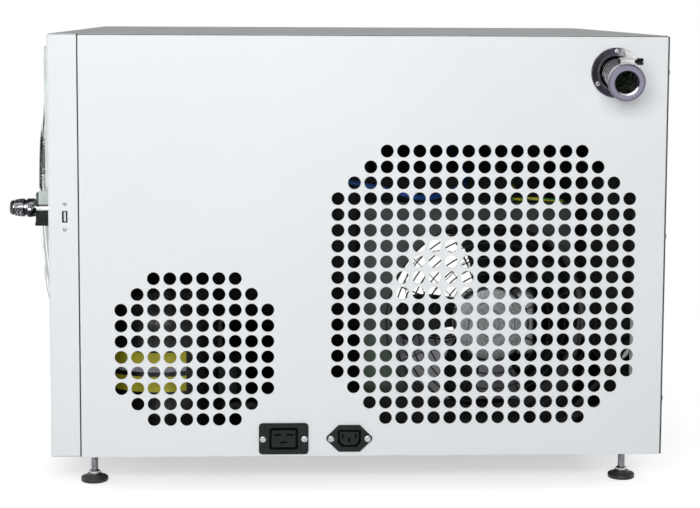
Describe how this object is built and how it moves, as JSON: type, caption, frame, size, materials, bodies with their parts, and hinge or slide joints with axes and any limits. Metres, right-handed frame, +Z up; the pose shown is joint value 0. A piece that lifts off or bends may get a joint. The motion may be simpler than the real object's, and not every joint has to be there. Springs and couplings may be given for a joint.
{
  "type": "bench-top freeze dryer",
  "caption": "Bench-top freeze dryer: white sheet-metal cabinet with a domed clear door, shelf chamber, perforated right side, vacuum port and levelling feet.",
  "frame": {"origin": "centre of the overall box, on the surface that the feet stand on", "axes": "+X to the operator's right, +Y to the rear, +Z up"},
  "size_m": [0.6546, 0.7346, 0.499],
  "materials": {
    "black_chrome": "dark plated",
    "black_enamel": "enamel",
    "black_foam": "cellular foam",
    "black_gloss": "moulded",
    "black_plastic": "moulded",
    "black_rubber": "matt",
    "black_wire": "coated wire",
    "board_green": "resist",
    "bright_screw": "plated",
    "clear_acrylic": "clear, polished",
    "copper": "drawn tube",
    "fin_aluminium": "rolled",
    "foot_black": "moulded on a plated stem",
    "grey_motor": "cast",
    "grey_paint": "powder coat, satin",
    "grey_sheet": "satin",
    "heater_silicone": "silicone rubber",
    "light_plastic": "moulded",
    "polished_steel": "polished",
    "screen_black": "glass front",
    "stainless": "brushed",
    "white_paint": "powder coat, satin",
    "wire_blue": "sleeved",
    "zinc_steel": "zinc plated"
  },
  "bodies": {
    "cabinet": {"base_chassis": "white_paint", "cabinet_cover": "white_paint", "chamber_insulation": "black_foam", "chamber_vessel": "stainless", "compressor": "black_enamel", "compressor_mounts": "black_rubber", "condenser_fins": "fin_aluminium", "condenser_frame": "zinc_steel", "condenser_tubes": "copper", "control_board": "board_green", "control_box": "zinc_steel", "door_gasket": "black_rubber", "evaporator_coil": "copper", "exhaust_guard": "black_wire", "fan_guard": "black_wire", "fan_motor": "grey_motor", "fan_shroud": "grey_sheet", "filter_drier": "copper", "foot_nuts": "zinc_steel", "front_bulkhead": "zinc_steel", "front_fascia": "white_paint", "heater_mats": "heater_silicone", "hinge_bracket": "stainless", "hinge_pin": "stainless", "hose_clamp_band": "polished_steel", "hose_clamp_screw": "polished_steel", "kf_flange": "polished_steel", "latch_post": "black_plastic", "mains_inlet": "black_plastic", "outlet_large": "black_plastic", "outlet_small": "black_plastic", "port_screws": "bright_screw", "product_tray_1": "stainless", "product_tray_2": "stainless", "product_tray_3": "stainless", "product_tray_4": "stainless", "rear_panel": "grey_paint", "rear_screws": "bright_screw", "refrigerant_lines": "copper", "screen_glass": "screen_black", "screen_housing": "light_plastic", "shelf_rack": "stainless", "socket_screws": "bright_screw", "switch_frame": "black_plastic", "terminal_cover": "black_plastic", "usb_screws": "bright_screw", "usb_socket": "black_plastic", "vacuum_bulkhead": "polished_steel", "vacuum_hose": "polished_steel", "wiring_loom": "wire_blue"},
    "door": {"door_window": "clear_acrylic", "hinge_strap": "stainless", "strap_screws": "bright_screw"},
    "latch": {"latch_knob": "black_chrome"},
    "rocker": {"switch_rocker": "black_gloss"},
    "fan": {"fan_rotor": "black_plastic"},
    "foot_back_left": {"levelling_foot_back_left": "foot_black"},
    "foot_back_right": {"levelling_foot_back_right": "foot_black"},
    "foot_front_left": {"levelling_foot_front_left": "foot_black"},
    "foot_front_right": {"levelling_foot_front_right": "foot_black"}
  },
  "joints": [
    {"name": "door_swing", "type": "hinge", "parent": "cabinet", "child": "door", "pos_m": [-0.21731, -0.3236, 0.315], "axis": [0, 0, -1], "range_deg": [0, 105]},
    {"name": "latch_turn", "type": "hinge", "parent": "cabinet", "child": "latch", "pos_m": [0.16269, -0.3296, 0.299], "axis": [0, 1, 0], "range_deg": [0, 180]},
    {"name": "power_rocker", "type": "hinge", "parent": "cabinet", "child": "rocker", "pos_m": [0.22469, -0.3096, 0.099], "axis": [-1, 0, 0], "range_deg": [0, 20]},
    {"name": "fan_spin", "type": "hinge", "parent": "cabinet", "child": "fan", "pos_m": [0.12269, 0.1854, 0.163], "axis": [1, 0, 0], "continuous": true},
    {"name": "foot_front_right_turn", "type": "hinge", "parent": "cabinet", "child": "foot_front_right", "pos_m": [0.23269, -0.2666, 0.007], "axis": [0, 0, 1], "continuous": true},
    {"name": "foot_front_left_turn", "type": "hinge", "parent": "cabinet", "child": "foot_front_left", "pos_m": [-0.28731, -0.2666, 0.007], "axis": [0, 0, 1], "continuous": true},
    {"name": "foot_back_right_turn", "type": "hinge", "parent": "cabinet", "child": "foot_back_right", "pos_m": [0.23269, 0.3264, 0.007], "axis": [0, 0, 1], "continuous": true},
    {"name": "foot_back_left_turn", "type": "hinge", "parent": "cabinet", "child": "foot_back_left", "pos_m": [-0.28731, 0.3264, 0.007], "axis": [0, 0, 1], "continuous": true}
  ]
}
